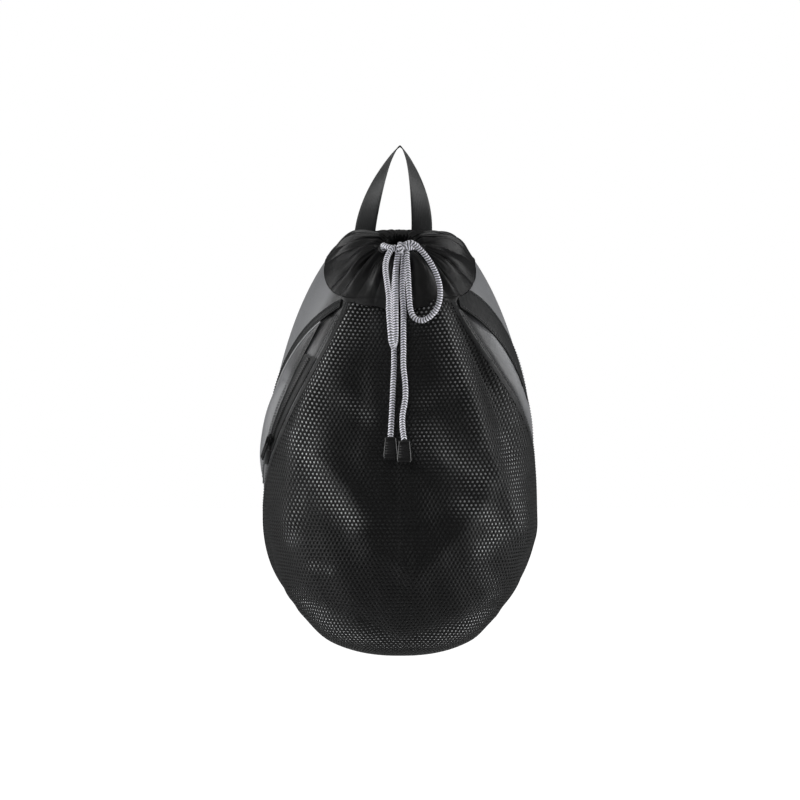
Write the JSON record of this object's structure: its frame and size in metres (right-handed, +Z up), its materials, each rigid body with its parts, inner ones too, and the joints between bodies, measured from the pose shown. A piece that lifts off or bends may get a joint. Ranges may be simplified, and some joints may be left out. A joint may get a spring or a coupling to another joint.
{
  "type": "mesh ball bag",
  "caption": "Drawstring ball bag with a mesh front, cloth sides, a zipped side pocket, padded shoulder straps and a webbing handle that hangs it.",
  "frame": {"origin": "the point on the underside of the handle's webbing at its peak, where a hook carries the bag", "axes": "+Z up, -Y towards the mesh front, +X to the right as seen from the front"},
  "size_m": [0.3292, 0.2727, 0.61],
  "materials": {
    "mesh": "open knit, semi-gloss",
    "side_cloth": "satin weave",
    "black_cloth": "satin weave",
    "foam": "matte",
    "piping": "satin",
    "zip_coil": "gloss",
    "fittings": "gloss",
    "webbing": "ribbed weave",
    "cord": "braid, black and white"
  },
  "bodies": {
    "bag": {"mesh_panel": "mesh", "left_side_panel": "side_cloth", "right_side_panel": "side_cloth", "back_panel": "black_cloth", "back_foam": "foam", "back_lining": "black_cloth", "left_front_seam_tape": "black_cloth", "right_front_seam_tape": "black_cloth", "left_back_seam_tape": "black_cloth", "right_back_seam_tape": "black_cloth", "left_band": "black_cloth", "right_band": "black_cloth", "pocket_panel": "side_cloth", "pocket_piping": "piping", "zip_tape": "black_cloth", "zip_coil": "zip_coil", "zip_end_tab": "black_cloth", "collar": "black_cloth", "collar_facing": "black_cloth", "left_eyelet": "fittings", "right_eyelet": "fittings", "drawstring_run": "cord", "drawstring_knot": "cord", "drawstring_left_loop": "cord", "drawstring_right_loop": "cord", "drawstring_left_end": "cord", "drawstring_right_end": "cord", "left_cord_end": "fittings", "right_cord_end": "fittings", "left_handle_tab": "webbing", "right_handle_tab": "webbing", "strap_yoke": "black_cloth", "left_strap_anchor": "black_cloth", "right_strap_anchor": "black_cloth"},
    "handle": {"handle": "webbing"},
    "zip_slider": {"zip_slider": "fittings"},
    "zip_pull": {"zip_pull": "fittings"},
    "left_strap": {"left_strap_pad": "black_cloth", "left_strap_webbing": "webbing", "left_ladder_lock": "fittings"},
    "right_strap": {"right_strap_pad": "black_cloth", "right_strap_webbing": "webbing", "right_ladder_lock": "fittings"}
  },
  "joints": [
    {"name": "handle_fold", "type": "hinge", "parent": "bag", "child": "handle", "pos_m": [0, 0.008, -0.10175], "axis": [1, 0, 0], "range_deg": [-95, 60]},
    {"name": "pocket_zip", "type": "hinge", "parent": "bag", "child": "zip_slider", "pos_m": [0.07105, 0.18185, -0.30632], "axis": [-0.6837, 0.5315, 0.5], "range_deg": [0, 17]},
    {"name": "pull_swing", "type": "hinge", "parent": "zip_slider", "child": "zip_pull", "pos_m": [-0.15628, -0.06572, -0.35087], "axis": [-0.2839, 0.8161, 0.5034], "range_deg": [0, 170]},
    {"name": "left_strap_swing", "type": "hinge", "parent": "bag", "child": "left_strap", "pos_m": [-0.044, 0.0454, -0.1566], "axis": [0.1307, -0.0257, 0.9911], "range_deg": [-20, 22]},
    {"name": "right_strap_swing", "type": "hinge", "parent": "bag", "child": "right_strap", "pos_m": [0.044, 0.0454, -0.1566], "axis": [0.1307, 0.0257, -0.9911], "range_deg": [-20, 22]}
  ]
}
